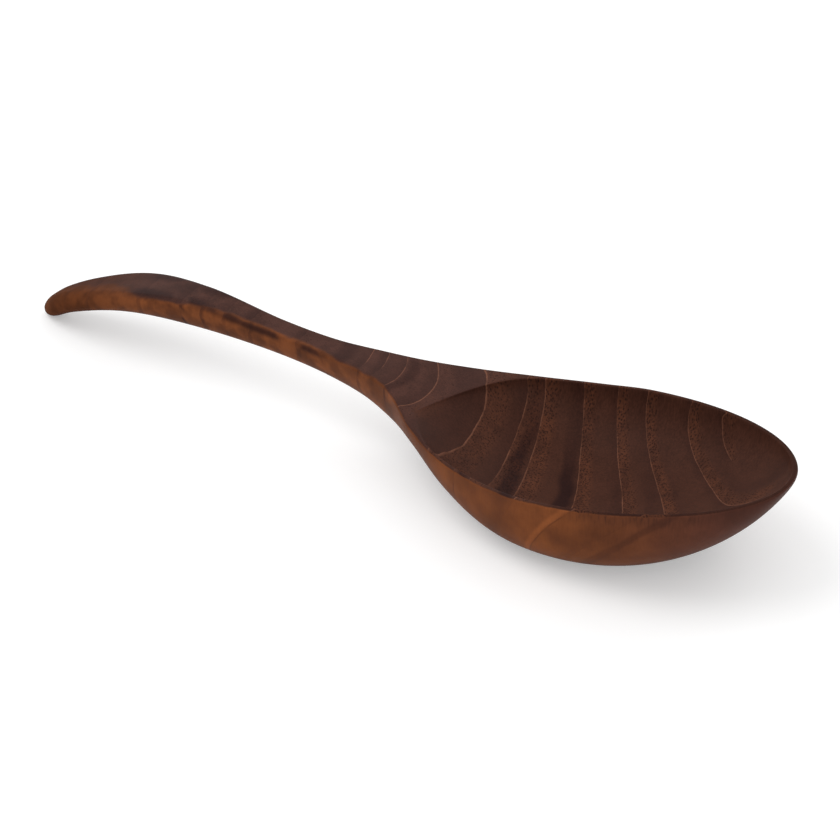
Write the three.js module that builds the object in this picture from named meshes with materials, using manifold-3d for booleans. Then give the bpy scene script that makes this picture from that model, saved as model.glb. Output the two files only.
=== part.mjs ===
import * as THREE from 'three';
import Module from 'manifold-3d';
import { mergeVertices } from 'three/addons/utils/BufferGeometryUtils.js';

// A wooden scoop carved from one block. It lies on a table at z = 0, on its belly and on the end
// of its tail. Sizes are in millimetres: x runs from the tail to the tip of the bowl, y across
// and z up, and the origin is on the small flat under the belly.

// Lengths between the sections through the uncut blank, from the widest part of the bowl back.
const BELLY_LENGTH = 17;
const HEEL_LENGTH = 19;
const SHOULDER_LENGTH = 16;
const THROAT_LENGTH = 15;
const NECK_LENGTH = 14;
const SHANK_LENGTH = 15;
const WAIST_LENGTH = 20;
const GRIP_LENGTH = 32;
const PALM_LENGTH = 26;
const TAIL_LENGTH = 24;
const TAIL_END_LENGTH = 17;

// Widths across the flat top.
const BOWL_WIDTH = 72.6;
const BELLY_WIDTH = 67.7;
const HEEL_WIDTH = 56.2;
const SHOULDER_WIDTH = 40;
const THROAT_WIDTH = 20.8;
const NECK_WIDTH = 13.9;
const SHANK_WIDTH = 10.3;
const WAIST_WIDTH = 9.3;
const GRIP_WIDTH = 14.3;
const PALM_WIDTH = 19.4;
const TAIL_WIDTH = 16.3;
const TAIL_END_WIDTH = 8.6;

// Heights of the underside above the table. What lies below the table is planed off as a flat.
const BOWL_RISE = -0.4;
const BELLY_RISE = -0.1;
const HEEL_RISE = 2.1;
const SHOULDER_RISE = 6.1;
const THROAT_RISE = 10.5;
const NECK_RISE = 14.4;
const SHANK_RISE = 17.2;
const WAIST_RISE = 18.5;
const GRIP_RISE = 18;
const PALM_RISE = 15.4;
const TAIL_RISE = 6.9;
const TAIL_END_RISE = -3;

// Depths from the flat top down to the underside.
const BOWL_DEPTH = 26.7;
const BELLY_DEPTH = 24.1;
const HEEL_DEPTH = 20.8;
const SHOULDER_DEPTH = 18;
const THROAT_DEPTH = 16.7;
const NECK_DEPTH = 13.2;
const SHANK_DEPTH = 10.1;
const WAIST_DEPTH = 9.3;
const GRIP_DEPTH = 10.7;
const PALM_DEPTH = 9.2;
const TAIL_DEPTH = 8.8;
const TAIL_END_DEPTH = 9.6;

// Radii that soften the top edge: small round the bowl and the neck, wide in the hand.
const BOWL_EDGE = 1;
const SHANK_EDGE = 1.2;
const WAIST_EDGE = 1.4;
const GRIP_EDGE = 2.2;
const PALM_EDGE = 3.2;
const TAIL_EDGE = 4.2;
const TAIL_END_EDGE = 4.5;
const TAIL_ROUND = 9; // length over which the tail's end is rounded off

// The bowl in front of its widest section: an ellipse in plan, whose underside stays low and then
// sweeps up to the tip.
const BOWL_X = 4; // the widest section, ahead of the origin
const BOWL_FRONT = 65;
const TIP_HEIGHT = 36.3;
const TIP_FULLNESS = 2.3;
const UNDERSIDE_SWEEP = 2.1; // how late the underside starts to rise
const UNDERSIDE_CLOSE = 0.76; // how bluntly it meets the tip

// The hollow: a lip all round, and a blunt back end on the shoulder that leans to one side and
// rolls over softly there.
const LIP = 1.6;
const FLOOR = 5.2; // wood left under the deepest place
const HOLLOW_BACK = 54.8; // from the widest section back to the point
const HOLLOW_POINT = 30.8; // length over which the back end narrows to its point
const POINT_SWEEP = 5; // how late it narrows
const POINT_ASIDE = 13; // how far the point lies to one side
const ASIDE_SWEEP = 3.7; // how late it leans over
const HOLLOW_FULLNESS = 2.3;
const SOFT_WALL = 1.2; // how gently the wall rolls over beside the point
const SOFT_SWEEP = 2; // how late it turns soft
const BACK_SWEEP = 2.75; // how late the floor starts to rise to the back
const BACK_CLOSE = 1.5; // how gently it runs out at the point
const FRONT_SWEEP = 2.3;
const FRONT_CLOSE = 0.75;

// Each section in turn. Fullness is how square the underside is, where 2 is an ellipse.
const SECTIONS = [
  [0, BOWL_WIDTH, BOWL_RISE, BOWL_DEPTH, BOWL_EDGE, 3.3],
  [BELLY_LENGTH, BELLY_WIDTH, BELLY_RISE, BELLY_DEPTH, BOWL_EDGE, 3.2],
  [HEEL_LENGTH, HEEL_WIDTH, HEEL_RISE, HEEL_DEPTH, BOWL_EDGE, 2.3],
  [SHOULDER_LENGTH, SHOULDER_WIDTH, SHOULDER_RISE, SHOULDER_DEPTH, BOWL_EDGE, 1.8],
  [THROAT_LENGTH, THROAT_WIDTH, THROAT_RISE, THROAT_DEPTH, BOWL_EDGE, 2.2],
  [NECK_LENGTH, NECK_WIDTH, NECK_RISE, NECK_DEPTH, BOWL_EDGE, 1.8],
  [SHANK_LENGTH, SHANK_WIDTH, SHANK_RISE, SHANK_DEPTH, SHANK_EDGE, 2],
  [WAIST_LENGTH, WAIST_WIDTH, WAIST_RISE, WAIST_DEPTH, WAIST_EDGE, 2.3],
  [GRIP_LENGTH, GRIP_WIDTH, GRIP_RISE, GRIP_DEPTH, GRIP_EDGE, 2.3],
  [PALM_LENGTH, PALM_WIDTH, PALM_RISE, PALM_DEPTH, PALM_EDGE, 2.1],
  [TAIL_LENGTH, TAIL_WIDTH, TAIL_RISE, TAIL_DEPTH, TAIL_EDGE, 2.1],
  [TAIL_END_LENGTH, TAIL_END_WIDTH, TAIL_END_RISE, TAIL_END_DEPTH, TAIL_END_EDGE, 2.1],
].map(([length, width, rise, depth, edge, fullness]) => (
  { length, width, rise, depth, edge, fullness }
));

// How finely the surfaces are divided.
const STATION_SPACING = 4;
const ROUNDING_STATIONS = 7;
const UNDERSIDE_STEPS = 13;
const EDGE_STEPS = 3;
const HOLLOW_STATIONS = 17;
const HOLLOW_STEPS = 22;
const PROFILE_POINTS = 600;

const CUTTER_CLEARANCE = 6; // how far a cutting solid reaches past what it cuts

// Where each section lies along x, from the tail forward.
let distance = BOWL_X;
const sections = SECTIONS.map((section) => {
  distance -= section.length;
  return { ...section, x: distance };
}).reverse();
const tailX = sections[0].x;
const tipX = BOWL_X + BOWL_FRONT;
const bowl = sections.at(-1);

// A smooth line through [x, value] pairs, as a function of x.
function smoothLine(pairs) {
  const points = pairs.map(([x, value]) => new THREE.Vector3(x, 0, value));
  const line = new THREE.CatmullRomCurve3(points, false, 'centripetal').getPoints(PROFILE_POINTS);
  return (x) => {
    const next = line.findIndex((point) => point.x > x);
    if (next < 0) return line.at(-1).z;
    if (next === 0) return line[0].z;
    const [before, after] = [line[next - 1], line[next]];
    return THREE.MathUtils.mapLinear(x, before.x, after.x, before.z, after.z);
  };
}

const pairs = (size) => sections.map((section) => [section.x, size(section)]);

// A line that levels out at the widest section, because it goes on there as its own mirror image.
function levelledLine(size) {
  const belly = sections.at(-2);
  return smoothLine([...pairs(size), [2 * bowl.x - belly.x, size(belly)]]);
}

const topLine = smoothLine([...pairs((s) => s.rise + s.depth), [tipX, TIP_HEIGHT]]);
const halfWidthLine = levelledLine((s) => s.width / 2);
const undersideLine = levelledLine((s) => s.rise);
const edgeLine = smoothLine([...pairs((s) => s.edge), [tipX, bowl.edge]]);
const fullnessLine = smoothLine([...pairs((s) => s.fullness), [tipX, TIP_FULLNESS]]);

// One when there is nothing left of a run, falling to zero along a curve at its far end.
const closing = (share, sweep, close) => (1 - Math.min(Math.max(share, 0), 1) ** sweep) ** close;
const ELLIPSE_SWEEP = 2;
const ELLIPSE_CLOSE = 0.5;

// Half width and depth at x, on the bowl's front or behind it.
function outline(x, inset) {
  const front = closing((x - bowl.x) / (BOWL_FRONT - inset), ELLIPSE_SWEEP, ELLIPSE_CLOSE);
  return (halfWidthLine(Math.min(x, bowl.x)) - inset) * front;
}

function depthAt(x) {
  const front = closing((x - bowl.x) / BOWL_FRONT, UNDERSIDE_SWEEP, UNDERSIDE_CLOSE);
  return (topLine(x) - undersideLine(Math.min(x, bowl.x))) * front;
}

// A quarter of a rounded outline from straight down to straight out, as [y, z] offsets. Its far
// end is steep unless close is about one, where it rolls over softly.
function roundedQuarter(halfWidth, depth, fullness, steps, close = 1 / fullness) {
  return Array.from({ length: steps + 1 }, (_, i) => {
    const angle = (Math.PI / 2) * (1 - i / steps);
    const out = halfWidth * Math.abs(Math.cos(angle)) ** (2 / fullness);
    return [i === 0 ? 0 : out, -depth * Math.sin(angle) ** (2 * close)];
  });
}

// A whole ring at x from its two halves, which run from the keel or floor up and out.
function ring(x, leftHalf, rightHalf = leftHalf, middle = 0) {
  const mirrored = rightHalf.slice(1).reverse().map(([y, z]) => [-y, z]);
  return [...leftHalf, ...mirrored].map(([y, z]) => new THREE.Vector3(x, middle + y, z));
}

// The blank's outline at x: a full underside, a softened edge and a flat top.
function blankRing(x) {
  const rounding = closing(1 - (x - tailX) / TAIL_ROUND, ELLIPSE_SWEEP, ELLIPSE_CLOSE);
  const halfWidth = outline(x, 0) * rounding;
  const halfDepth = (depthAt(x) / 2) * rounding;
  const top = topLine(x) - depthAt(x) / 2 + halfDepth;
  const edge = Math.min(edgeLine(x), 0.9 * halfDepth, 0.9 * halfWidth);
  const side = top - edge;
  const underside = roundedQuarter(halfWidth, 2 * halfDepth - edge, fullnessLine(x), UNDERSIDE_STEPS)
    .map(([y, z]) => [y, side + z]);
  const softened = Array.from({ length: EDGE_STEPS }, (_, i) => {
    const angle = (Math.PI / 2) * ((i + 1) / EDGE_STEPS);
    return [halfWidth - edge + edge * Math.cos(angle), side + edge * Math.sin(angle)];
  });
  return ring(x, [...underside, ...softened]);
}

// The hollow's outline at x, carried straight up past the top.
function hollowRing(x) {
  const backX = bowl.x - HOLLOW_BACK;
  const toPoint = Math.max(1 - (x - backX) / HOLLOW_POINT, 0);
  const halfWidth = outline(x, LIP) * (1 - toPoint ** POINT_SWEEP);
  const deepest = bowl.depth + bowl.rise - FLOOR;
  const back = closing((bowl.x - x) / HOLLOW_BACK, BACK_SWEEP, BACK_CLOSE);
  const front = closing((x - bowl.x) / (BOWL_FRONT - LIP), FRONT_SWEEP, FRONT_CLOSE);
  const top = topLine(x);
  const wall = (close) => [
    ...roundedQuarter(halfWidth, deepest * back * front, HOLLOW_FULLNESS, HOLLOW_STEPS, close)
      .map(([y, z]) => [y, top + z]),
    [halfWidth, top + CUTTER_CLEARANCE],
  ];
  const steep = 1 / HOLLOW_FULLNESS;
  const soft = THREE.MathUtils.lerp(steep, SOFT_WALL, toPoint ** SOFT_SWEEP);
  return ring(x, wall(steep), wall(soft), -POINT_ASIDE * toPoint ** ASIDE_SWEEP);
}

// Stations between two ends, close together where the shape rounds off.
const roundedStations = (from, length, count) =>
  Array.from({ length: count }, (_, i) => from + length * (1 - Math.cos((Math.PI / 2) * ((i + 1) / count))));

function evenStations(from, to, spacing) {
  const count = Math.max(Math.ceil((to - from) / spacing), 1);
  return Array.from({ length: count }, (_, i) => from + ((to - from) * (i + 1)) / count);
}

// A closed skin over rings of equally many points, drawn to a point at each end.
function skin(start, rings, end) {
  const size = rings[0].length;
  const points = [start, ...rings.flat(), end];
  const last = points.length - 1;
  const triangles = [];
  for (let i = 0; i < size; i++) {
    const next = (i + 1) % size;
    triangles.push(0, 1 + next, 1 + i);
    triangles.push(last, last - size + i, last - size + next);
    for (let r = 0; r < rings.length - 1; r++) {
      const [a, b] = [1 + r * size + i, 1 + r * size + next];
      triangles.push(a, b, b + size, a, b + size, a + size);
    }
  }
  return new THREE.BufferGeometry().setFromPoints(points).setIndex(triangles);
}

function blankGeometry() {
  const tip = roundedStations(0, BOWL_FRONT / 2, 2 * ROUNDING_STATIONS)
    .map((x) => tipX - x)
    .reverse();
  const stations = [
    ...roundedStations(tailX, TAIL_ROUND, ROUNDING_STATIONS),
    ...evenStations(tailX + TAIL_ROUND, tipX - BOWL_FRONT / 2, STATION_SPACING),
    ...tip.slice(1),
  ];
  const tailPoint = new THREE.Vector3(tailX, 0, topLine(tailX) - depthAt(tailX) / 2);
  return skin(tailPoint, stations.map(blankRing), new THREE.Vector3(tipX, 0, TIP_HEIGHT));
}

function hollowGeometry() {
  const backX = bowl.x - HOLLOW_BACK;
  const frontX = tipX - LIP;
  const middle = (backX + frontX) / 2;
  const half = (frontX - backX) / 2;
  const stations = Array.from({ length: 2 * HOLLOW_STATIONS - 1 }, (_, i) =>
    middle - half * Math.cos((Math.PI / 2) * ((i + 1) / HOLLOW_STATIONS)));
  const point = new THREE.Vector3(backX, -POINT_ASIDE, topLine(backX));
  return skin(point, stations.map(hollowRing), new THREE.Vector3(frontX, 0, topLine(frontX)));
}

// Everything below the table's top, which leaves the scoop its resting flats.
function tableGeometry() {
  const length = tipX - tailX + 2 * CUTTER_CLEARANCE;
  const width = bowl.width + 2 * CUTTER_CLEARANCE;
  return new THREE.BoxGeometry(length, width, CUTTER_CLEARANCE)
    .translate((tipX + tailX) / 2, 0, -CUTTER_CLEARANCE / 2);
}

const wasm = await Module();
wasm.setup();

function solid(geometry) {
  geometry.deleteAttribute('normal');
  geometry.deleteAttribute('uv');
  const merged = mergeVertices(geometry);
  return new wasm.Manifold(new wasm.Mesh({
    numProp: 3,
    vertProperties: Float32Array.from(merged.getAttribute('position').array),
    triVerts: Uint32Array.from(merged.getIndex().array),
  }));
}

function geometryOf(body) {
  const mesh = body.getMesh();
  const geometry = new THREE.BufferGeometry();
  geometry.setAttribute('position', new THREE.BufferAttribute(mesh.vertProperties, mesh.numProp));
  geometry.setIndex(new THREE.BufferAttribute(mesh.triVerts, 1));
  geometry.computeVertexNormals();
  return geometry;
}

const oiledHardwood = new THREE.MeshStandardMaterial({
  name: 'oiled_hardwood',
  color: 0x63402d,
  roughness: 0.55,
  metalness: 0,
});

function carvedScoop() {
  const carved = solid(blankGeometry()).subtract(solid(hollowGeometry())).subtract(solid(tableGeometry()));
  const mesh = new THREE.Mesh(geometryOf(carved), oiledHardwood);
  mesh.name = 'carved_scoop';
  return mesh;
}

const scoop = new THREE.Group();
scoop.add(carvedScoop());

export default scoop;
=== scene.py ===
import math

import bmesh
import bpy
import numpy as np
from bpy.props import FloatProperty, FloatVectorProperty, PointerProperty
from mathutils import Matrix, Vector


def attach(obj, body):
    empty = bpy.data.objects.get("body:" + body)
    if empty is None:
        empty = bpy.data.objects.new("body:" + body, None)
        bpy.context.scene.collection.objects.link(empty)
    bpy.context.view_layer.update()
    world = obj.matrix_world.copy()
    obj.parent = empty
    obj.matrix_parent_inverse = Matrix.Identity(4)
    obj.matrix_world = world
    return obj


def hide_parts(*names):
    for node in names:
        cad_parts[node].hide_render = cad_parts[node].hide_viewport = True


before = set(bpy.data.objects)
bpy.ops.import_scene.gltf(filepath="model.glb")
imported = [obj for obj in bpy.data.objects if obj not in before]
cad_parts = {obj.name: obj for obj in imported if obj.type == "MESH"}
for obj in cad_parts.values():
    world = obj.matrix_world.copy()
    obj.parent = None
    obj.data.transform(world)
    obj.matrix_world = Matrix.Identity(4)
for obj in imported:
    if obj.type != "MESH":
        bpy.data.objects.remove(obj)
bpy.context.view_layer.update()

bl_info = {
    "name": "Carved wooden scoop",
    "version": (1, 0, 0),
    "blender": (4, 5, 0),
    "location": "3D View > Sidebar > Scoop",
    "description": "Carves a one-piece wooden scoop and sets up a plain studio for it",
    "category": "Object",
}

BODY = "root"
NODE = "carved_scoop"
MM = 0.001
# Points closer than this, in metres, are joined.
JOIN_WITHIN = 2e-7
# Smallest sizes in millimetres that keep a division or a corner from vanishing.
NEARLY_NIL = 1e-9
NEARLY_NIL_AREA = 1e-12
SLIVER = 1e-6
THIN_SLIVER = 1e-7

# Growth rings from the tail to the tip. Each has the place of its line in the ring field in
# millimetres, how clearly the line shows on the end grain and on the sides, and how open the
# pores behind the line are.
RINGS = (
    (-225.0, 0.0, 0.0, 0.0),
    (-186.0, 0.0, 0.3, 0.1),
    (-162.4, 0.0, 0.7, 0.1),
    (-145.9, 0.0, 0.9, 0.1),
    (-137.9, 0.0, 0.6, 0.1),
    (-129.4, 0.0, 0.5, 0.1),
    (-120.2, 0.0, 0.4, 0.1),
    (-101.5, 0.0, 0.4, 0.1),
    (-76.4, 0.7, 0.5, 0.05),
    (-70.6, 0.7, 0.3, 0.05),
    (-63.6, 0.7, 0.6, 0.1),
    (-52.9, 0.9, 0.3, 0.2),
    (-39.5, 1.0, 0.2, 0.6),
    (-29.4, 0.9, 0.8, 0.6),
    (-22.8, 0.8, 0.2, 1.0),
    (-5.0, 1.0, 0.2, 1.0),
    (12.8, 1.0, 0.6, 1.0),
    (29.0, 0.9, 0.2, 1.0),
    (51.2, 0.9, 0.2, 0.8),
    (64.9, 0.7, 0.1, 0.6),
    (95.0, 0.0, 0.0, 0.0),
)

# Dark streaks of heartwood along the rings: middle, half width, and strength on the end grain
# and on the sides.
STREAKS = (
    (-150.0, 8.0, 0.3, 0.2),
    (-119.0, 6.0, 0.25, 0.1),
    (-84.5, 4.5, 0.5, 0.1),
    (-61.0, 2.6, 0.5, 0.2),
    (-45.0, 5.0, 0.3, 0.1),
    (-26.0, 2.6, 0.95, 0.1),
    (-9.0, 4.0, 0.9, 0.12),
    (9.5, 3.0, 0.2, 0.0),
    (24.5, 3.5, 0.3, 0.0),
    (35.6, 2.3, 0.2, 0.3),
    (60.5, 3.5, 0.25, 0.1),
)
# The share of a streak's half width that is fully dark, and the half width in millimetres that is
# fully dark in a smudge.
STREAK_CORE = 0.3
SMUDGE_CORE = 0.3

# The middle of the pale streak, and how it fades to both sides.
PALE_STREAK = 11.4
PALE_STREAK_EDGE = (0.3, 2.3, 0.95, 0.0)

# Cloudy noises in the wood: whether they run up along the fibres, the size of their lumps in
# millimetres, their detail and their roughness.
NOISES = {
    "cloud": (False, 14, 2.0, 0.5),
    "drift": (False, 6, 2.0, 0.5),
    "waves": (False, 24, 1.0, 0.5),
    "breaks": (False, 7, 1.0, 0.5),
    "smudges": (False, 11, 2.0, 0.5),
    "tears": (True, 0.8, 2.0, 0.5),
    "fibre": (True, 0.55, 3.0, 0.7),
    "mottle": (False, 6, 3.0, 0.6),
}
NOISE_MEAN = 0.5

# How much height counts in the fibres and in the pores, which run upright, how far apart pores lie
# in millimetres, and the share of them that opens where they crowd.
FIBRE_SQUEEZE = 0.14
PORE_SQUEEZE = 0.5
PORE_SPACING = 0.62
MOST_PORES = 0.95

# Soft steps over the wood: what each follows, where it starts and ends, and its values there.
# Places and distances are in millimetres, with x toward the tip and y to the left. Grown and left
# are the distances past the last ring line and before the next.
STEPS = {
    # Parts of the scoop.
    "tail": ("x", -156, -196, 0, 1),
    "handle": ("x", -50, -66, 0, 1),
    "bowl": ("x", -48, -34, 0, 1),
    # Bends of the rings.
    "into_bowl": ("x", -50, 50, 0, 1),
    "into_neck": ("x", -100, -70, 0, 1),
    "out_of_neck": ("x", -62, -35, 1, 0),
    "lean": ("x", -30, 20, 0, 1.05),
    "toward_tip": ("x", 44, 68, 0, 1),
    "tip_bend": ("y", -12, 2, 0, 13),
    "behind_shoulder": ("x", -30, -38, 0, 1),
    "shoulder_bend": ("y", -5, -18, 0, 1.3),
    "far_side": ("y", 24, 28, 0, 1),
    "past_belly": ("x", 14, 28, 0, 1),
    "far_rim_bend": ("rise", 0, 5, 0, 1.6),
    # The border between end grain and long grain, and how far wear draws it in.
    "border_softness": ("x", -70, -45, 0.9, 0.3),
    "worn_tail": ("x", -158, -174, 0, 5.5),
    "worn_end": ("x", -172, -192, 0, 2.5),
    "worn_from": ("x", -146, -137, 0, 1),
    "worn_to": ("x", -84, -96, 0, 1.8),
    "near_half": ("y", 6, -2, 0, 1),
    "level": ("levelness", 0.55, 0.95, 0, 1),
    "low_down": ("below_rim", 5, 7, 0, 1),
    # Ring lines, early wood and late wood, and where they fade.
    "last_rings": ("rings", 58, 62, 0, 1),
    "fade_across": ("y", 25.5, 22, 0, 1),
    "fade_along": ("x", 36, 42, 0, 1),
    "fade_at_tip": ("x", 63, 57, 0, 1),
    "patchy": ("breaks", 0.32, 0.52, 0.3, 1),
    "line": ("grown", 0.15, 0.5, 1, 0),
    "past_neck": ("x", -70, -58, 0, 1),
    "far_half": ("y", -4, 1, 0, 1),
    "line_reach": ("reach", 0, 0.6, 0, 1),
    "side_line_start": ("x", -50, -66, 0.3, 0.8),
    "side_line_end": ("x", -50, -66, 0.8, 2.1),
    "side_line_shows": ("x", -50, -66, 0.6, 0.9),
    "early_wood": ("grown", 3.5, 7.5, 1, 0),
    "late_wood": ("left", 0.3, 5, 1, 0),
    # Pores and the web between them.
    "crowd_end": ("rings", 67, 70, 1, 0.1),
    "pore": ("cell", 0.2, 0.5, 1, 0),
    "pore_chosen": ("chosen", 0, 0.1, 0, 1),
    "web": ("cell", 0.3, 0.6, 0, 1),
    "web_patches": ("drift", 0.35, 0.6, 0.4, 1),
    # Dark streaks, and smudges along the edge of the handle.
    "streak_side": ("y", 26, 4, 0.3, 1),
    "smudge_from": ("x", -176, -160, 0, 1),
    "smudge_to": ("x", -92, -80, 1, 0),
    "smudge_inset": ("x", -150, -118, 3, -0.6),
    "smudge_width": ("x", -150, -118, 5, 2.2),
    "smudge_patches": ("smudges", 0.4, 0.58, 0.05, 0.8),
    # Painted shade that darkens the lip of the bowl and the hollow's wall just inside the near lip.
    "lip": ("inset", -0.3, 0.4, 0, 1),
    "rim": ("x", 2, 24, 0, 1),
    "wall_shade_inset": ("inset", 6, 1.5, 0, 1),
    "wall_shade_across": ("y", -6, -14, 0, 1),
    "wall_shade_along": ("x", 4, 26, 0, 1),
    # Pale patches of long grain, made brighter toward the bowl as painted light where the side
    # faces the light, painted shade that darkens the outer side toward the tip, and the torn grain
    # under the rim.
    "pale_cloud": ("cloud", 0.28, 0.78, 0, 1),
    "painted_light_along": ("x", -80, -45, 0.3, 0.85),
    "pale_drift": ("drift", 0.4, 0.64, 0, 1),
    "front": ("x", 16, 66, 0, 0.95),
    "under_rim": ("below_rim", 0, 0.6, 0, 1),
    "torn_depth": ("below_rim", 5.5, 1, 0, 1),
    "torn_from": ("x", 12, 26, 0, 1),
    "torn_to": ("x", 66, 50, 0, 1),
    "torn_patches": ("tears", 0.45, 0.7, 0.4, 1),
    # Painted shade on the outer side at the tip, just under the rim.
    "tip_shade_along": ("x", 53, 63, 0, 1),
    "tip_shade_depth": ("below_rim", 12, 5, 0, 1),
    # Fine variation of tone and roughness.
    "speckle": ("fibre", 0.25, 0.75, -1, 1),
    "mottle": ("mottle", 0.25, 0.75, -1, 1),
    "mottle_shows": ("x", -50, -66, 0.1, 0.2),
    "roughness": ("fibre", 0.2, 0.8, 0.5, 0.62),
}

# How far the rings lean for each millimetre to the left and above a level. A curve goes with left
# squared, left by height, and height squared.
RING_LEVEL = 24.0
RING_TILT = (-0.14, -0.163)
BOWL_TILT = (-0.593, 0.513)
CURVE_REACH = 30
BOWL_CURVE = (-0.494 / CURVE_REACH, 0.158 / CURVE_REACH, 0.84 / CURVE_REACH)
NECK_TILT = -0.087
NECK_CURVE = -0.0255

# How far noise moves the rings, the streaks and the border of the end grain.
SIDE_WANDER = 3.0
TOP_WANDER = 0.7
LONG_WANDER = 0.5
STREAK_WANDER = 5.0
TAIL_SOFTNESS = 3.0
BORDER_DRIFT = 4.0

# How strongly each mark shows. A pair is for long grain and for end grain.
LATE_WOOD_SHOWS = (0.08, 0.28)
SPECKLE_SHOWS = (0.08, 0.25)
UNDERNEATH_SHARE = 0.85
# Painted shade inside the near lip.
WALL_SHADE_STRENGTH = 0.4
# Painted shade at the tip.
TIP_SHADE_STRENGTH = 0.45
TORN_GRAIN = 0.6
PALE_HANDLE = 0.5
RED_TAIL = 0.75
WEB_SHOWS = 0.3
PITS_SHOW = 0.65
TOP_LINE_SHOWS = 0.7
STREAK_GLOW = 0.22

# Relief and gloss. The bump's height is in metres.
BUMP_STRENGTH = 0.35
BUMP_HEIGHT = 0.00012
FIBRE_HEIGHT = 0.25
LINE_DEPTH = 0.3
PIT_ROUGHNESS = 0.2
MATT_SHARE = 0.3
OIL_GLOSS = 0.06

# The studio, in metres. Each soft lamp has its place, its size and its power in watts.
FLOOR_GLOW = 0.3
FLOOR_SIZE = 8.0
WORLD_LIGHT = 0.72
LAMPS = (
    ("key_lamp", (-0.9, -0.5, 1.5), 1.4, 9.0),
    ("fill_lamp", (1.3, -0.9, 1.1), 1.4, 5.0),
    ("back_lamp", (0.2, 1.4, 1.2), 1.2, 4.0),
)
LAMP_TARGET = (-0.06, 0.0, 0.02)

# The photographed view in metres: what the camera looks at, where it stands, which way is up in
# the picture, and its lens in millimetres.
VIEW_TARGET = (-0.05791, 0.00028, 0.01192)
VIEW_FROM = (0.35178, -0.58306, 0.47531)
VIEW_UP = (-0.3140, 0.4627, 0.8290)
VIEW_LENS = 118.25


def linear(red, green, blue):
    """A colour given as 0 to 255 on screen, as the linear values that shaders use."""
    shares = (red / 255, green / 255, blue / 255)
    return tuple(s / 12.92 if s < 0.04045 else ((s + 0.055) / 1.055) ** 2.4 for s in shares)


def metres(*lengths):
    """Lengths in millimetres, in metres."""
    return tuple(length * MM for length in lengths)


class ScoopSizes(bpy.types.PropertyGroup):
    """Sizes of the carved scoop. Each list runs from the bowl's widest part back to the tail."""

    lengths: FloatVectorProperty(
        name="Section lengths",
        description="Distance of each section from the one before it",
        size=12,
        unit="LENGTH",
        default=metres(0, 17, 19, 16, 15, 14, 15, 20, 32, 26, 24, 17),
    )
    widths: FloatVectorProperty(
        name="Widths",
        description="Width of each section across the flat top",
        size=12,
        unit="LENGTH",
        default=metres(72.6, 67.7, 56.2, 40, 20.8, 13.9, 10.3, 9.3, 14.3, 19.4, 16.3, 8.6),
    )
    rises: FloatVectorProperty(
        name="Rises",
        description="Height of the underside above the table",
        size=12,
        unit="LENGTH",
        default=metres(-0.4, -0.1, 2.1, 6.1, 10.5, 14.4, 17.2, 18.5, 18, 15.4, 6.9, -3),
    )
    depths: FloatVectorProperty(
        name="Depths",
        description="Depth from the flat top down to the underside",
        size=12,
        unit="LENGTH",
        default=metres(26.7, 24.1, 20.8, 18, 16.7, 13.2, 10.1, 9.3, 10.7, 9.2, 8.8, 9.6),
    )
    edges: FloatVectorProperty(
        name="Edge radii",
        description="Radius that softens the top edge",
        size=12,
        unit="LENGTH",
        default=metres(1, 1, 1, 1, 1, 1, 1.2, 1.4, 2.2, 3.2, 4.2, 4.5),
    )
    fullness: FloatVectorProperty(
        name="Fullness",
        description="How square the underside of each section is, where 2 is an ellipse",
        size=12,
        default=(3.3, 3.2, 2.3, 1.8, 2.2, 1.8, 2, 2.3, 2.3, 2.1, 2.1, 2.1),
    )
    widest_x: FloatProperty(
        name="Widest place",
        description="Where the widest section of the bowl lies along the scoop",
        default=4 * MM,
        unit="LENGTH",
    )
    tail_round: FloatProperty(
        name="Tail rounding",
        description="Length over which the end of the tail is rounded off",
        default=9 * MM,
        unit="LENGTH",
    )
    bowl_front: FloatProperty(
        name="Bowl front",
        description="Length from the widest section to the tip",
        default=65 * MM,
        unit="LENGTH",
    )
    tip_height: FloatProperty(
        name="Tip height",
        description="Height of the tip above the table",
        default=36.3 * MM,
        unit="LENGTH",
    )
    tip_fullness: FloatProperty(
        name="Tip fullness",
        description="How square the underside is at the tip",
        default=2.3,
    )
    lip: FloatProperty(
        name="Lip",
        description="Width of wood left between the outer edge and the hollow",
        default=1.6 * MM,
        unit="LENGTH",
    )
    floor: FloatProperty(
        name="Floor",
        description="Wood left under the deepest place of the hollow",
        default=5.2 * MM,
        unit="LENGTH",
    )
    hollow_back: FloatProperty(
        name="Hollow back",
        description="Length of the hollow from the widest section back to its point",
        default=54.8 * MM,
        unit="LENGTH",
    )
    hollow_point: FloatProperty(
        name="Hollow point",
        description="Length over which the hollow narrows to its point",
        default=30.8 * MM,
        unit="LENGTH",
    )
    point_aside: FloatProperty(
        name="Point aside",
        description="How far the point of the hollow lies to one side",
        default=13 * MM,
        unit="LENGTH",
    )
    hollow_edge: FloatProperty(
        name="Hollow edge",
        description="Radius that softens the border of the hollow",
        default=0.4 * MM,
        unit="LENGTH",
    )


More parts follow.
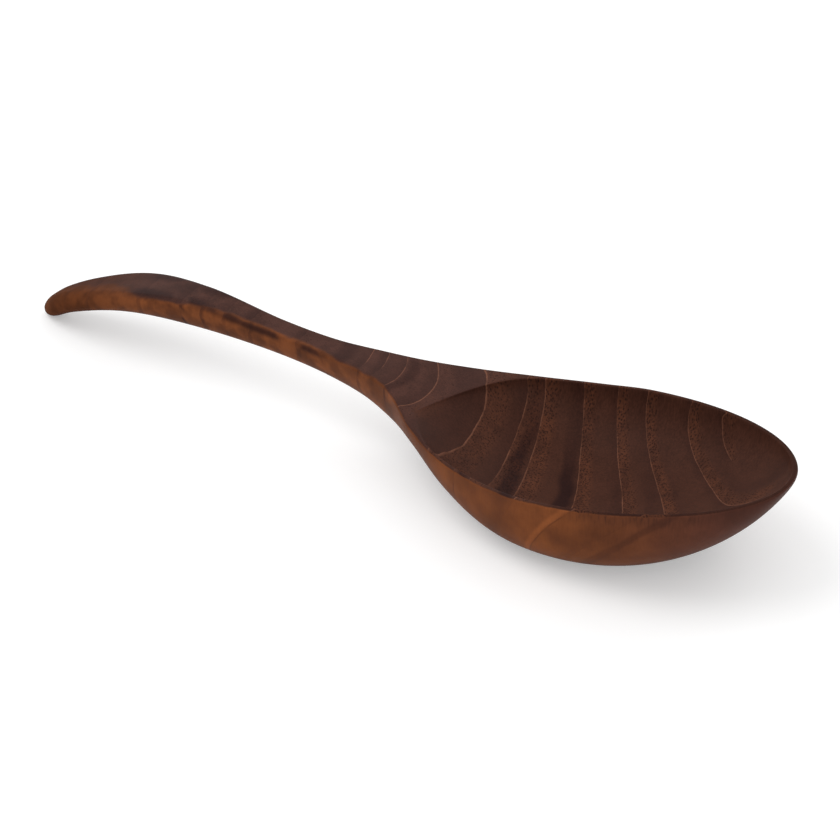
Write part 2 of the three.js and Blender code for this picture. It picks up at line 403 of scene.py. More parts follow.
class ScoopColours(bpy.types.PropertyGroup):
    """Colours of the oiled wood and of the studio."""

    # Partly painted sheen: the flat top's greyer, bluer tone over the end grain stands in for a
    # sheen of reflected light.
    deck: FloatVectorProperty(
        name="Flat top",
        description="End grain on the flat top of the handle and shoulder",
        subtype="COLOR",
        size=3,
        default=linear(72, 45, 38),
    )
    hollow: FloatVectorProperty(
        name="Hollow",
        description="End grain in the hollow",
        subtype="COLOR",
        size=3,
        default=linear(70, 41, 31),
    )
    # Painted shade: this dark tone darkens the lip, the wall inside the near lip and the tip. It is
    # also the colour of the torn grain under the rim.
    rim: FloatVectorProperty(
        name="Rim",
        description="End grain on the lip of the bowl",
        subtype="COLOR",
        size=3,
        default=linear(56, 32, 25),
    )
    side: FloatVectorProperty(
        name="Side",
        description="Long grain on the outer sides",
        subtype="COLOR",
        size=3,
        default=linear(96, 53, 30),
    )
    pale_side: FloatVectorProperty(
        name="Pale side",
        description="Paler patches of long grain",
        subtype="COLOR",
        size=3,
        default=linear(128, 72, 38),
    )
    # Painted shade: the outer side darkens toward the tip as it turns away from the light.
    front_side_shade: FloatVectorProperty(
        name="Front side",
        description="Darker long grain on the outer side near the tip",
        subtype="COLOR",
        size=3,
        default=linear(80, 46, 37),
    )
    tail_side: FloatVectorProperty(
        name="Tail side",
        description="Redder long grain on the outer side at the end of the handle",
        subtype="COLOR",
        size=3,
        default=linear(78, 40, 18),
    )
    streak: FloatVectorProperty(
        name="Dark streak",
        description="Nearly black streaks of heartwood",
        subtype="COLOR",
        size=3,
        default=linear(40, 20, 18),
    )
    ring_line: FloatVectorProperty(
        name="Ring line",
        description="Pale line at the start of each growth ring",
        subtype="COLOR",
        size=3,
        default=linear(122, 80, 62),
    )
    fleck: FloatVectorProperty(
        name="Fleck",
        description="Orange flecks between the open pores",
        subtype="COLOR",
        size=3,
        default=linear(112, 64, 40),
    )
    pore: FloatVectorProperty(
        name="Pore",
        description="Inside of an open pore",
        subtype="COLOR",
        size=3,
        default=linear(40, 22, 17),
    )
    studio: FloatVectorProperty(
        name="Studio",
        description="Floor and surroundings",
        subtype="COLOR",
        size=3,
        default=(0.82, 0.82, 0.82),
    )


def smooth_line(stations, values, samples=60):
    """A centripetal curve through the values, as a function of the place along the scoop."""
    points = np.column_stack([stations, values]).astype(float)
    ahead = 2 * points[0] - points[1]
    behind = 2 * points[-1] - points[-2]
    points = np.vstack([ahead, points, behind])
    share = np.linspace(0, 1, samples)[:, None]
    line = []
    for before, start, end, after in zip(points, points[1:], points[2:], points[3:]):
        gap_in, gap, gap_out = (
            np.linalg.norm(b - a) ** 0.5 for a, b in ((before, start), (start, end), (end, after))
        )
        leaving = (start - before) / gap_in - (end - before) / (gap_in + gap) + (end - start) / gap
        arriving = (end - start) / gap - (after - start) / (gap + gap_out) + (after - end) / gap_out
        leaving *= gap
        arriving *= gap
        square = 3 * (end - start) - 2 * leaving - arriving
        cube = 2 * (start - end) + leaving + arriving
        line.append(start + leaving * share + square * share**2 + cube * share**3)
    line = np.vstack(line)
    return lambda x: np.interp(x, line[:, 0], line[:, 1])


def closing(share, sweep, close):
    """One where a run begins, falling along a curve to zero at its end."""
    return (1 - np.clip(share, 0, 1) ** sweep) ** close


class ScoopForm:
    """The carved surfaces in millimetres, as functions of the place x, y seen from above."""

    # Each pair says how a form closes: how late its curve turns, and how pointed its end is.
    UNDERSIDE = (2.1, 0.76)
    HOLLOW_BACK = (2.75, 1.5)
    HOLLOW_FRONT = (2.3, 0.75)
    ROUND = (2, 0.5)
    HOLLOW_FULLNESS = 2.3
    POINT_SWEEP = 5
    ASIDE_SWEEP = 3.7
    SOFT_WALL = 1.2
    SOFT_SWEEP = 2
    MOST_EDGE = 0.9

    def __init__(self, sizes):
        def listed(values):
            return np.array(values, float)[::-1]

        self.widest = sizes.widest_x / MM
        self.front = sizes.bowl_front / MM
        self.lip = sizes.lip / MM
        self.tail_round = sizes.tail_round / MM
        self.hollow_edge = sizes.hollow_edge / MM
        self.back = self.widest - sizes.hollow_back / MM
        self.point = sizes.hollow_point / MM
        self.point_aside = sizes.point_aside / MM
        x = self.widest - np.cumsum(sizes.lengths)[::-1] / MM
        width, rise, depth, edge = (
            listed(values) / MM for values in (sizes.widths, sizes.rises, sizes.depths, sizes.edges)
        )
        fullness = listed(sizes.fullness)
        self.tail = x[0]
        self.tip = self.widest + self.front
        self.floor_depth = depth[-1] + rise[-1] - sizes.floor / MM

        def levelled(values):
            return smooth_line([*x, 2 * x[-1] - x[-2]], [*values, values[-2]])

        def to_tip(values, end):
            return smooth_line([*x, self.tip], [*values, end])

        self.half_line = levelled(width / 2)
        self.under_line = levelled(rise)
        self.top_line = to_tip(rise + depth, sizes.tip_height / MM)
        self.edge_line = to_tip(edge, edge[-1])
        self.fullness = to_tip(fullness, sizes.tip_fullness)

    def ahead(self, x, inset=0.0):
        """Share of the way from the widest section to the tip."""
        return (x - self.widest) / (self.front - inset)

    def tail_share(self, x):
        return closing(1 - (x - self.tail) / self.tail_round, *self.ROUND)

    def half_width(self, x, inset=0.0):
        behind = np.minimum(x, self.widest)
        half = self.half_line(behind) - inset
        return half * closing(self.ahead(x, inset), *self.ROUND) * self.tail_share(x)

    def full_depth(self, x):
        """Depth before the front of the bowl closes."""
        return self.top_line(x) - self.under_line(np.minimum(x, self.widest))

    def top(self, x):
        return self.top_line(x) - self.full_depth(x) / 2 * (1 - self.tail_share(x))

    def edge(self, x):
        depth = self.full_depth(x) * self.tail_share(x)
        behind = np.minimum(x, self.widest)
        limit = self.MOST_EDGE * np.minimum(depth / 2, self.half_width(behind))
        return np.minimum(self.edge_line(x), limit)

    def hull_depth(self, x, y):
        """How far the underside lies below the flat top."""
        full = self.fullness(x)
        edge = self.edge(x)
        across = np.clip(np.abs(y) / np.maximum(self.half_width(x), NEARLY_NIL), 0, 1)
        shape = (1 - across**full) ** (1 / full)
        depth = self.full_depth(x) * self.tail_share(x)
        return (edge + (depth - edge) * shape) * closing(self.ahead(x), *self.UNDERSIDE)

    def to_point(self, x):
        return np.clip(1 - (x - self.back) / self.point, 0, 1)

    def hollow_half(self, x):
        half = self.half_width(x, self.lip) * (1 - self.to_point(x) ** self.POINT_SWEEP)
        return np.where(x <= self.back, 0, np.maximum(half, 0))

    def hollow_middle(self, x):
        """How far the middle of the hollow leans aside."""
        return -self.point_aside * self.to_point(x) ** self.ASIDE_SWEEP

    def hollow_deepest(self, x):
        behind = closing((self.widest - x) / (self.widest - self.back), *self.HOLLOW_BACK)
        return self.floor_depth * behind * closing(self.ahead(x, self.lip), *self.HOLLOW_FRONT)

    def hollow_depth(self, x, y):
        """How far the hollow lies below the flat top."""
        full = self.HOLLOW_FULLNESS
        aside = y - self.hollow_middle(x)
        across = np.clip(np.abs(aside) / np.maximum(self.hollow_half(x), NEARLY_NIL), 0, 1)
        softness = np.where(aside < 0, self.to_point(x) ** self.SOFT_SWEEP, 0)
        close = 1 / full + (self.SOFT_WALL - 1 / full) * softness
        return self.hollow_deepest(x) * (1 - across**full) ** close


class ScoopSkin:
    """The scoop's skin as rows of points. Each row runs from the keel out to the edge on one side,
    and in over the top to the middle of the hollow."""

    UNDER_STEPS = 44
    EDGE_STEPS = 8
    DECK_STEPS = 5
    BORDER_STEPS = 4
    HOLLOW_STEPS = 44
    TAIL_ROWS = 14
    POINT_ROWS = 36
    FRONT_ROWS = 84
    ROW_SPACING = 1.3
    SEAM_LENGTH = 18.0
    FLAT_BLEND = 0.12
    SLOPE_STEP = 0.04
    MOST_BORDER = 0.4
    HALVINGS = 48

    def __init__(self, form):
        self.form = form
        places = self.parallel_places()
        turn = np.linspace(math.pi / 2, 0, self.FRONT_ROWS)
        plan = np.arctan2(form.half_width(form.widest) * np.sin(turn), form.front * np.cos(turn))
        self.origin = np.concatenate([places, np.full(len(plan), form.widest)])[:, None]
        self.along = np.concatenate([np.zeros(len(places)), np.cos(plan)])[:, None]
        self.across = np.concatenate([np.ones(len(places)), np.sin(plan)])[:, None]
        self.first_hollow = int(np.searchsorted(places, form.back - SLIVER))
        self.side = 1

    def parallel_places(self):
        """Places of the rows behind the widest section, closer where the shape turns fast."""
        form = self.form
        quarter = np.linspace(0, math.pi / 2, self.TAIL_ROWS + 1)
        tail = form.tail + form.tail_round * (1 - np.cos(quarter))
        opening = np.linspace(0, math.pi / 2, self.POINT_ROWS + 1)
        point = form.back + form.point * (1 - np.cos(opening))
        spans = ((tail[-1], form.back), (point[-1], form.widest))
        even = []
        for start, end in spans:
            count = math.ceil((end - start) / self.ROW_SPACING)
            even.append(np.linspace(start, end, count + 1)[1:-1])
        return np.concatenate([tail, even[0], point, even[1]])

    def place(self, reach):
        """Plan position of a point that lies this far out along each row."""
        return self.origin + reach * self.along, self.side * reach * self.across

    def reach_where(self, depth_of, low, high, wanted):
        """How far out each row meets a depth below the flat top."""
        low, high = low + 0 * high, high + 0 * low
        for _ in range(self.HALVINGS):
            middle = (low + high) / 2
            deeper = depth_of(*self.place(middle)) > wanted
            low = np.where(deeper, middle, low)
            high = np.where(deeper, high, middle)
        return (low + high) / 2

    def limit(self, half, front):
        """Farthest reach of each row in a plan outline."""
        oval = 1 / np.sqrt((self.along / front) ** 2 + (self.across / half[-1]) ** 2)
        return np.where(self.origin < self.form.widest, half, oval)

    def corner(self, depth_of, low, high, radius):
        """Where a rounded corner leaves a wall, its sharp corner, and its length."""
        start = self.reach_where(depth_of, low, high, radius)
        deeper = self.reach_where(depth_of, low, high, (1 + self.SLOPE_STEP) * radius)
        slope = (start - deeper) / (self.SLOPE_STEP * radius)
        return start, start + radius * slope, radius * np.sqrt(1 + slope**2)

    @staticmethod
    def arc(first, middle, last, steps):
        """A round corner between two tangents, as reach, depth below the top and share of its
        run."""
        (r0, h0), (r1, h1), (r2, h2) = first, middle, last
        one = np.stack([r0 - r1, h0 - h1])
        other = np.stack([r2 - r1, h2 - h1])
        length = np.linalg.norm(one, axis=0) * np.linalg.norm(other, axis=0)
        facing = (one * other).sum(0) / np.maximum(length, NEARLY_NIL_AREA)
        opening = np.arccos(np.clip(facing, -1, 1))
        weight = np.sin(opening / 2)
        share = np.linspace(0, 1, steps + 1)[None, :]
        parts = ((1 - share) ** 2, 2 * weight * share * (1 - share), share**2)
        total = sum(parts)
        reach = (parts[0] * r0 + parts[1] * r1 + parts[2] * r2) / total
        depth = (parts[0] * h0 + parts[1] * h1 + parts[2] * h2) / total
        return reach, depth, share + 0 * reach

    def seam(self):
        """Reach of the line where the two halves of the flat top or the hollow meet."""
        form = self.form
        share = np.clip((self.origin - form.back + self.SEAM_LENGTH) / self.SEAM_LENGTH, 0, 1)
        behind = -form.point_aside * share**2 * (3 - 2 * share)
        middle = np.where(self.origin < form.back, behind, form.hollow_middle(self.origin))
        return self.side * middle

    def build(self, side):
        """The outside and the hollow of one half, as grids of points, with their distance in from
        the outer edge."""
        self.side = side
        form = self.form
        origin = self.origin
        nil = np.zeros_like(origin)

        edge = np.maximum(form.edge(origin), SLIVER)
        full = form.fullness(origin)
        outer = self.limit(form.half_width(origin), form.front)
        start, sharp, length = self.corner(form.hull_depth, nil, outer, edge)
        deck_out = sharp - length

        seam = self.seam()
        inner_half = form.hollow_half(origin)
        inner = self.limit(inner_half, form.front - form.lip) + seam
        shallow = self.MOST_BORDER * np.minimum(form.hollow_deepest(origin), inner_half)
        border = np.clip(shallow, THIN_SLIVER, form.hollow_edge)
        wall, wall_sharp, wall_length = self.corner(form.hollow_depth, seam, inner, border)
        deck_in = np.where(inner_half > 0, wall_sharp + wall_length, seam)
        deck_in = np.minimum(deck_in, deck_out)

        quarter = np.linspace(math.pi / 2, 0, self.UNDER_STEPS + 1)[None, :]
        out = start * np.clip(np.cos(quarter), 0, 1) ** (2 / full)
        out[:, 0] = 0
        depth = form.hull_depth(*self.place(out))
        depth[:, -1:] = edge
        under = (out, depth, 0 * out)

        out, depth, _ = self.arc((start, edge), (sharp, nil), (deck_out, nil), self.EDGE_STEPS)
        rounded = (out, depth, 0 * out)

        share = np.linspace(0, 1, self.DECK_STEPS + 1)[None, :]
        out = deck_out + (deck_in - deck_out) * share
        deck = (out, 0 * out, 0 * out)

        corners = ((deck_in, nil), (wall_sharp, nil), (wall, border))
        out, depth, share = self.arc(*corners, self.BORDER_STEPS)
        softened = (out, depth, share)

        quarter = np.linspace(0, math.pi / 2, self.HOLLOW_STEPS + 1)[None, :]
        out = seam + (wall - seam) * np.clip(np.cos(quarter), 0, 1) ** (2 / form.HOLLOW_FULLNESS)
        out[:, -1:] = seam
        depth = form.hollow_depth(*self.place(out))
        depth[:, :1] = border
        hollow = (out, depth, 1 + 0 * out)

        outside = self.grid((under, rounded, deck), outer, True)
        inside = self.grid((softened, hollow), outer, False)[self.first_hollow :]
        inside[0, :, :3] = outside[self.first_hollow, -1, :3]
        return outside, inside

    def grid(self, parts, outer, is_outside):
        """Rows joined end to end: x, y, z, distance in from the outer edge, hollow share and depth
        below the rim."""
        joined = []
        for column in range(3):
            runs = [part[column][:, (number > 0) :] for number, part in enumerate(parts)]
            joined.append(np.concatenate(runs, 1))
        reach, depth, hollow_share = joined
        x, y = self.place(reach)
        z = self.form.top(x) - depth
        z = (z + np.sqrt(z**2 + self.FLAT_BLEND**2)) / 2
        below = depth if is_outside else 0 * depth
        inset = np.maximum(outer - reach, 0) - below
        return np.stack([x, y, z, inset, hollow_share, below], 2)


def skin_mesh(name, grids):
    """A closed mesh from grids of points, joined where they meet."""
    points, quads = [], []
    count = 0
    for grid in grids:
        rows, columns = grid.shape[:2]
        index = np.arange(rows * columns).reshape(rows, columns) + count
        corners = (index[:-1, :-1], index[:-1, 1:], index[1:, 1:], index[1:, :-1])
        points.append(grid.reshape(-1, grid.shape[2]))
        quads.append(np.stack([corner.ravel() for corner in corners], 1))
        count += rows * columns
    points = np.vstack(points)
    mesh = bpy.data.meshes.new(name)
    mesh.from_pydata((points[:, :3] * MM).tolist(), [], np.vstack(quads).tolist())
    for column, attribute in enumerate(("inset", "hollow_share", "below_rim"), 3):
        layer = mesh.attributes.new(attribute, "FLOAT", "POINT")
        layer.data.foreach_set("value", points[:, column].astype(np.float32))
    model = bmesh.new()
    model.from_mesh(mesh)
    bmesh.ops.remove_doubles(model, verts=model.verts, dist=JOIN_WITHIN)
    bmesh.ops.recalc_face_normals(model, faces=model.faces)
    loose = sum(not edge.is_manifold for edge in model.edges)
    if loose:
        model.free()
        raise RuntimeError(f"the skin of {name} has {loose} open edges")
    model.to_mesh(mesh)
    model.free()
    mesh.polygons.foreach_set("use_smooth", [True] * len(mesh.polygons))
    facing = np.zeros(len(mesh.vertices) * 3, np.float32)
    mesh.vertex_normals.foreach_get("vector", facing)
    layer = mesh.attributes.new("levelness", "FLOAT", "POINT")
    layer.data.foreach_set("value", np.abs(facing[2::3]))
    mesh.update()
    return mesh


class Wire:
    """A socket's value that can be used in sums."""

    def __init__(self, graph, socket):
        self.graph = graph
        self.socket = socket

    def joined(self, operation, first, second):
        return self.graph.node("ShaderNodeMath", {"operation": operation}, {0: first, 1: second})

    def __add__(self, other):
        return self.joined("ADD", self, other)

    def __radd__(self, other):
        return self.joined("ADD", other, self)

    def __sub__(self, other):
        return self.joined("SUBTRACT", self, other)

    def __rsub__(self, other):
        return self.joined("SUBTRACT", other, self)

    def __mul__(self, other):
        return self.joined("MULTIPLY", self, other)

    def __rmul__(self, other):
        return self.joined("MULTIPLY", other, self)

    def __gt__(self, other):
        return self.joined("GREATER_THAN", self, other)

    def __abs__(self):
        return self.graph.node("ShaderNodeMath", {"operation": "ABSOLUTE"}, {0: self})


class Graph:
    """Adds nodes to a node tree."""

    def __init__(self, tree):
        self.tree = tree
        tree.nodes.clear()

    def node(self, kind, settings=None, sockets=None, output=0):
        """A node with its settings made first, and then its sockets set or linked."""
        node = self.tree.nodes.new(kind)
        for name, value in (settings or {}).items():
            setattr(node, name, value)
        for name, value in (sockets or {}).items():
            socket = node.inputs[name]
            if isinstance(value, Wire):
                self.tree.links.new(value.socket, socket)
            else:
                socket.default_value = value
        return Wire(self, node.outputs[output]) if len(node.outputs) else node

    def smooth(self, value, start, end, low=0.0, high=1.0):
        """A soft step from low to high as the value goes from start to end."""
        sockets = {"Value": value, "From Min": start, "From Max": end}
        sockets.update({"To Min": low, "To Max": high})
        return self.node("ShaderNodeMapRange", {"interpolation_type": "SMOOTHSTEP"}, sockets)

    def larger(self, first, second):
        return self.node("ShaderNodeMath", {"operation": "MAXIMUM"}, {0: first, 1: second})

    def colour(self, factor, first, second):
        """Two colours mixed by a factor."""
        settings = {"data_type": "RGBA", "clamp_factor": True}
        first, second = (c if isinstance(c, Wire) else (*c, 1) for c in (first, second))
        return self.node("ShaderNodeMix", settings, {0: factor, 6: first, 7: second}, 2)

    def coated(self, colour, coats):
        """A colour under coats of others, each given by its share and its colour."""
        for share, coat in coats:
            colour = self.colour(share, colour, coat)
        return colour

    def scaled(self, place, x, y, z):
        """A place stretched along the axes."""
        settings = {"operation": "MULTIPLY"}
        return self.node("ShaderNodeVectorMath", settings, {0: place, 1: (x, y, z)})

    def noise(self, place, size, detail, roughness):
        """Cloudy noise around 0.5 whose lumps are this many millimetres across."""
        sockets = {"Vector": place, "Scale": 1 / size, "Detail": detail, "Roughness": roughness}
        return self.node("ShaderNodeTexNoise", None, sockets)

    def cells(self, place, size, output):
        """Scattered cells of a size in millimetres: distance from the middle, or random colour."""
        return self.node("ShaderNodeTexVoronoi", None, {"Vector": place, "Scale": 1 / size}, output)

    def attribute(self, name):
        return self.node("ShaderNodeAttribute", {"attribute_name": name}, None, "Fac")


class Grain:
    """Measures, noises and masks over the wood, from which its colours and relief are mixed."""

    def __init__(self, graph):
        self.graph = graph
        self.made = {}
        place = graph.node("ShaderNodeTexCoord", None, None, "Object")
        place = graph.scaled(place, 1 / MM, 1 / MM, 1 / MM)
        upright = graph.scaled(place, 1, 1, FIBRE_SQUEEZE)
        self.tubes = graph.scaled(place, 1, 1, PORE_SQUEEZE)
        for axis, name in enumerate("xyz"):
            setattr(self, name, graph.node("ShaderNodeSeparateXYZ", None, {0: place}, axis))
        for name in ("inset", "hollow_share", "below_rim", "levelness"):
            setattr(self, name, graph.attribute(name))
        for name, (is_upright, size, detail, roughness) in NOISES.items():
            noise = graph.noise(upright if is_upright else place, size, detail, roughness)
            setattr(self, name, noise)
        self.rise = self.z + self.below_rim - RING_LEVEL
        self.find_end_grain()
        self.find_rings()
        # The lip of the bowl, where painted shade darkens the end grain.
        self.rim = (1 - self.hollow_share) * self.step("lip") * self.step("bowl") * self.step("rim")

    def step(self, name):
        """One of the soft steps by its name, made once."""
        if name not in self.made:
            follows, start, end, low, high = STEPS[name]
            self.made[name] = self.graph.smooth(getattr(self, follows), start, end, low, high)
        return self.made[name]

    def by_grain(self, on_long, on_end):
        """A strength that goes from its value on long grain to its value on end grain."""
        return self.end * (on_end - on_long) + on_long

    def find_end_grain(self):
        """Where the end grain of the top and the flat underside gives way to long grain."""
        step = self.step
        softness = step("tail") * TAIL_SOFTNESS + step("border_softness")
        worn = step("worn_tail") + step("worn_end") + step("worn_from") * step("worn_to")
        drift = (self.drift - NOISE_MEAN) * softness * BORDER_DRIFT
        turn = self.inset - worn * step("near_half") + drift
        self.upper = self.graph.smooth(turn, softness * -1.0, softness)
        underneath = step("level") * step("low_down")
        self.end = self.graph.larger(self.upper, underneath * UNDERNEATH_SHARE)

    def ring_field(self):
        """Place in the growth rings in millimetres. Rings are bent shells across the scoop,
        upright at the handle and leaning on the outer side of the bowl's front."""
        step = self.step
        y, rise = self.y, self.rise
        bent = y * BOWL_TILT[0] + rise * BOWL_TILT[1] + y * y * BOWL_CURVE[0]
        bent = bent + y * rise * BOWL_CURVE[1] + rise * rise * BOWL_CURVE[2]
        shells = y * RING_TILT[0] + rise * RING_TILT[1] + bent * step("into_bowl")
        neck = step("into_neck") * step("out_of_neck")
        shells = shells + (y * NECK_TILT + y * y * NECK_CURVE) * neck
        shells = shells + step("toward_tip") * step("tip_bend")
        shells = shells - step("behind_shoulder") * step("shoulder_bend")
        shells = shells - step("far_rim_bend") * step("far_side") * step("past_belly")
        return self.x - shells + step("lean") * self.below_rim

    def find_rings(self):
        """The lines, early wood and late wood of the growth rings."""
        graph, step = self.graph, self.step
        unsteady = (1 - self.upper) * step("handle") * SIDE_WANDER + TOP_WANDER
        wander = (self.drift - NOISE_MEAN) * unsteady + (self.waves - NOISE_MEAN) * LONG_WANDER
        self.rings = self.ring_field() + wander
        past = [self.rings > ring[0] for ring in RINGS[1:]]
        places, top_lines, side_lines, open_pores = zip(*RINGS)
        widths = [after - before for before, after in zip(places, (*places[1:], places[-1]))]
        self.grown = self.rings - in_ring(past, places)
        self.left = in_ring(past, widths) - self.grown

        fading = graph.larger(step("fade_across"), step("fade_along"))
        lasting = (1 - step("last_rings") * fading) * step("fade_at_tip")
        patchy = step("patchy") * lasting
        self.reach = step("past_neck") + step("far_half")
        self.top_line = step("line") * patchy * in_ring(past, top_lines) * step("line_reach")
        side_line = graph.smooth(self.grown, step("side_line_start"), step("side_line_end"), 1, 0)
        self.side_line = side_line * patchy * in_ring(past, side_lines)
        self.late = step("late_wood") * lasting
        early = step("early_wood") * in_ring(past, open_pores) * self.upper * lasting
        self.crowd = early * step("crowd_end")

    def pores(self):
        """Open pores on end grain, and the paler web between them."""
        graph, step = self.graph, self.step
        self.cell = graph.cells(self.tubes, PORE_SPACING, "Distance")
        scatter = graph.cells(self.tubes, PORE_SPACING, "Color")
        pick = graph.node("ShaderNodeSeparateColor", None, {0: scatter})
        self.chosen = self.crowd * MOST_PORES - pick
        return step("pore") * step("pore_chosen"), step("web") * step("web_patches") * self.crowd

    def stain(self):
        """Dark streaks along the rings, and the smudges that follow the top edge of the handle."""
        graph, step = self.graph, self.step
        stain = 0.0
        for middle, half, on_top, on_side in STREAKS:
            away = abs(self.rings + (self.cloud - NOISE_MEAN) * STREAK_WANDER - middle)
            strength = self.upper * (on_top - on_side) + on_side
            streak = graph.smooth(away, half * STREAK_CORE, half, 1, 0) * strength
            stain = graph.larger(stain, streak)
        stain = stain * graph.larger(step("streak_side"), 1.0 - step("bowl"))
        away = abs(self.inset - step("smudge_inset"))
        smudge = graph.smooth(away, SMUDGE_CORE, step("smudge_width"), 1, 0)
        smudge = smudge * (step("smudge_from") * step("smudge_to")) * step("smudge_patches")
        return graph.larger(stain, smudge)


def in_ring(past, values):
    """The value that holds in the ring where a place lies."""
    found = values[0]
    for is_past, before, value in zip(past, values, values[1:]):
        found = is_past * (value - before) + found
    return found


def upper_colour(grain, colours):
    """End grain, browner in the bowl and at the tail, with painted sheen in the greyer flat top and
    painted shade on the lip and just inside the near lip.
    """
    graph, step = grain.graph, grain.step
    browner = graph.larger(graph.larger(grain.hollow_share, step("bowl")), step("tail"))
    painted_wall_shade = step("wall_shade_inset") * step("wall_shade_across") * step("wall_shade_along")
    # Painted shade: the lip and the wall inside the near lip take the dark rim colour.
    dark = graph.larger(grain.rim, painted_wall_shade * WALL_SHADE_STRENGTH)
    return graph.colour(dark, graph.colour(browner, colours.deck, colours.hollow), colours.rim)


def outer_colour(grain, colours, pale_streak):
    """Long grain, with its pale patches made brighter toward the bowl as painted light, painted
    shade toward the tip and at the tip under the rim, its darker, redder tail end and the torn
    grain under the rim.
    """
    graph, step = grain.graph, grain.step
    torn_here = step("torn_from") * step("torn_to")
    torn = step("torn_patches") * (step("under_rim") * step("torn_depth") * torn_here)
    coats = (
        # The pale patches grow toward the bowl as painted light.
        (step("pale_cloud") * step("painted_light_along"), colours.pale_side),
        # Painted shade toward the tip.
        (step("front"), colours.front_side_shade),
        (step("pale_drift") * step("handle") * PALE_HANDLE, colours.pale_side),
        (step("tail") * RED_TAIL, colours.tail_side),
        (pale_streak, colours.pale_side),
        (torn * TORN_GRAIN, colours.rim),
        # Painted shade at the tip under the rim.
        (step("tip_shade_along") * step("tip_shade_depth") * TIP_SHADE_STRENGTH, colours.rim),
    )
    return graph.coated(colours.side, coats)


def oiled_hardwood(colours):
    """Oiled, ring-porous wood whose rings cross the scoop, dark on end grain and orange on long
    grain."""
    material = bpy.data.materials.new("oiled_hardwood_grain")
    material.use_nodes = True
    graph = Graph(material.node_tree)
    grain = Grain(graph)
    step, end = grain.step, grain.end
    pits, web = grain.pores()
    pale_streak = graph.smooth(abs(grain.rings - PALE_STREAK), *PALE_STREAK_EDGE)
    on_long = 1 - end
    coats = (
        (end, upper_colour(grain, colours)),
        (grain.stain(), colours.streak),
        (grain.late * grain.by_grain(*LATE_WOOD_SHOWS), colours.streak),
        (web * WEB_SHOWS, colours.fleck),
        (pits * PITS_SHOW, colours.pore),
        (grain.top_line * grain.upper * TOP_LINE_SHOWS, colours.ring_line),
        (grain.side_line * on_long * step("side_line_shows"), colours.streak),
    )
    wood = graph.coated(outer_colour(grain, colours, pale_streak), coats)

    speckle = step("speckle") * grain.by_grain(*SPECKLE_SHOWS)
    shade = step("mottle") * step("mottle_shows") + speckle + 1.0
    shade = shade + pale_streak * on_long * STREAK_GLOW
    shades = graph.node("ShaderNodeCombineXYZ", None, {0: shade, 1: shade, 2: shade})
    settings = {"data_type": "RGBA", "blend_type": "MULTIPLY"}
    wood = graph.node("ShaderNodeMix", settings, {0: 1.0, 6: wood, 7: shades}, 2)

    height = grain.fibre * FIBRE_HEIGHT - pits - grain.top_line * LINE_DEPTH
    relief = {"Strength": BUMP_STRENGTH, "Distance": BUMP_HEIGHT, "Height": height}
    bump = graph.node("ShaderNodeBump", None, relief)
    matt = graph.larger(step("tail"), grain.rim) * MATT_SHARE
    sockets = {
        "Base Color": wood,
        "Roughness": step("roughness") + pits * PIT_ROUGHNESS + matt,
        "Specular IOR Level": OIL_GLOSS,
        "Normal": bump,
    }
    shader = graph.node("ShaderNodeBsdfPrincipled", None, sockets)
    graph.node("ShaderNodeOutputMaterial", None, {"Surface": shader})
    return material


def seen_directly(graph):
    """One for rays from the camera, glossy surfaces and glass."""
    kinds = ("Is Camera Ray", "Is Glossy Ray", "Is Transmission Ray")
    seen = 0.0
    for kind in kinds:
        seen = graph.larger(seen, graph.node("ShaderNodeLightPath", None, None, kind))
    return seen


def floor_material(colours):
    """A matt pale floor that is seen as white and keeps its shadow."""
    material = bpy.data.materials.new("studio_floor")
    material.use_nodes = True
    graph = Graph(material.node_tree)
    matt = graph.node("ShaderNodeBsdfDiffuse", None, {"Color": (*colours.studio, 1)})
    dark = graph.node("ShaderNodeEmission", None, {"Strength": 0.0})
    glow = graph.node("ShaderNodeEmission", None, {"Strength": FLOOR_GLOW})
    lift = graph.node("ShaderNodeMixShader", None, {0: seen_directly(graph), 1: dark, 2: glow})
    both = graph.node("ShaderNodeAddShader", None, {0: matt, 1: lift})
    graph.node("ShaderNodeOutputMaterial", None, {"Surface": both})
    return material


def aim(thing, start, target, up=(0, 0, 1)):
    """Places a camera or lamp and turns it to a target."""
    back = (Vector(start) - Vector(target)).normalized()
    right = Vector(up).cross(back).normalized()
    turn = Matrix((right, back.cross(right), back)).transposed()
    thing.location = start
    thing.rotation_mode = "QUATERNION"
    thing.rotation_quaternion = turn.to_quaternion()


def link(name, data):
    """A new object in the scene."""
    thing = bpy.data.objects.new(name, data)
    bpy.context.scene.collection.objects.link(thing)
    return thing


class SCOOP_OT_carve(bpy.types.Operator):
    """Carves the scoop with its hollow, lip and handle, and oils it"""

    bl_idname = "scoop.carve"
    bl_label = "Carve the scoop"

    def execute(self, context):
        skin = ScoopSkin(ScoopForm(context.scene.scoop_sizes))
        mesh = skin_mesh("scoop_wood", (*skin.build(1), *skin.build(-1)))
        mesh.materials.append(oiled_hardwood(context.scene.scoop_colours))
        piece = link("scoop_wood", mesh)
        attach(piece, BODY)
        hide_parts(NODE)
        return {"FINISHED"}


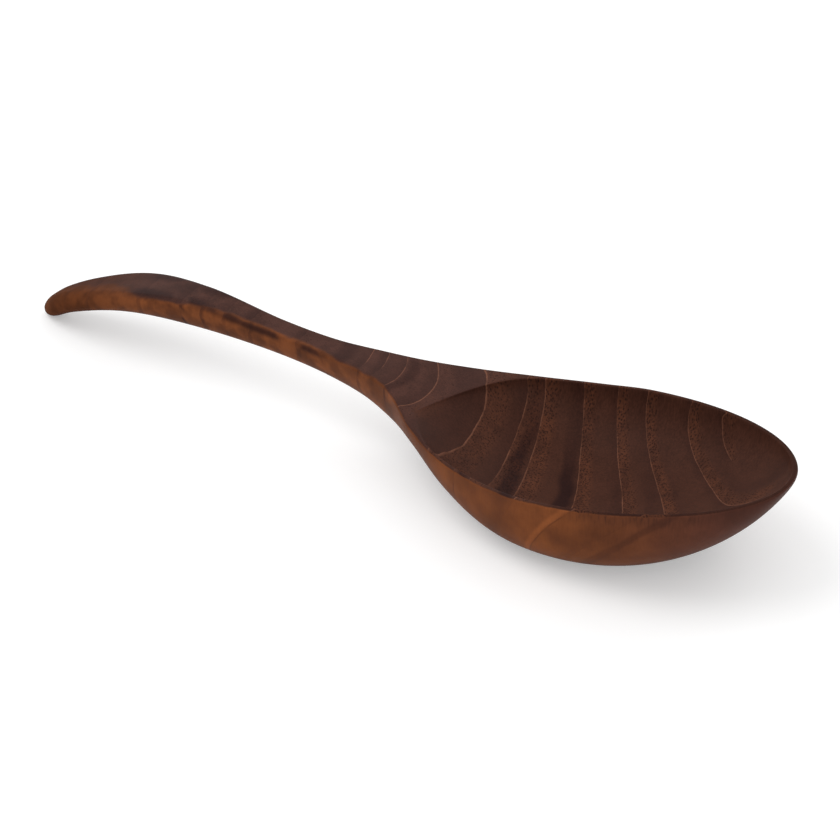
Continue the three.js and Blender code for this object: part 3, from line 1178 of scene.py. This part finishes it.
class SCOOP_OT_stage(bpy.types.Operator):
    """Lays the pale floor, hangs the soft lamps and sets up the camera"""

    bl_idname = "scoop.stage"
    bl_label = "Set up the studio"

    def execute(self, context):
        scene = context.scene
        colours = scene.scoop_colours
        half = FLOOR_SIZE / 2
        mesh = bpy.data.meshes.new("studio_floor")
        corners = [(-half, -half, 0), (half, -half, 0), (half, half, 0), (-half, half, 0)]
        mesh.from_pydata(corners, [], [(0, 1, 2, 3)])
        mesh.materials.append(floor_material(colours))
        floor = link("studio_floor", mesh)

        for name, place, size, power in LAMPS:
            light = bpy.data.lights.new(name, "AREA")
            light.shape = "DISK"
            light.size = size
            light.energy = power
            aim(link(name, light), place, LAMP_TARGET)

        world = bpy.data.worlds.new("studio_world")
        world.use_nodes = True
        graph = Graph(world.node_tree)
        white = (1, 1, 1, 1)
        lamp_light = {"Strength": WORLD_LIGHT, "Color": white}
        lit = graph.node("ShaderNodeBackground", None, lamp_light)
        seen = graph.node("ShaderNodeBackground", None, {"Strength": 1.0, "Color": white})
        both = graph.node("ShaderNodeMixShader", None, {0: seen_directly(graph), 1: lit, 2: seen})
        graph.node("ShaderNodeOutputWorld", None, {"Surface": both})
        scene.world = world

        camera = bpy.data.cameras.new("studio_camera")
        camera.lens = VIEW_LENS
        holder = link("studio_camera", camera)
        aim(holder, VIEW_FROM, VIEW_TARGET, VIEW_UP)
        scene.camera = holder
        scene.view_settings.view_transform = "Standard"
        return {"FINISHED"}


class SCOOP_PT_panel(bpy.types.Panel):
    """Buttons, sizes and colours for the scoop"""

    bl_idname = "SCOOP_PT_panel"
    bl_label = "Scoop"
    bl_space_type = "VIEW_3D"
    bl_region_type = "UI"
    bl_category = "Scoop"

    def draw(self, context):
        layout = self.layout
        layout.operator(SCOOP_OT_carve.bl_idname)
        layout.operator(SCOOP_OT_stage.bl_idname)
        for group in (context.scene.scoop_sizes, context.scene.scoop_colours):
            box = layout.box()
            for name in group.__annotations__:
                box.prop(group, name)


CLASSES = (ScoopSizes, ScoopColours, SCOOP_OT_carve, SCOOP_OT_stage, SCOOP_PT_panel)


def register():
    for item in CLASSES:
        bpy.utils.register_class(item)
    bpy.types.Scene.scoop_sizes = PointerProperty(type=ScoopSizes)
    bpy.types.Scene.scoop_colours = PointerProperty(type=ScoopColours)


def unregister():
    del bpy.types.Scene.scoop_colours
    del bpy.types.Scene.scoop_sizes
    for item in reversed(CLASSES):
        bpy.utils.unregister_class(item)


def main():
    register()
    bpy.ops.scoop.carve()
    bpy.ops.scoop.stage()


if __name__ == "__main__":
    main()
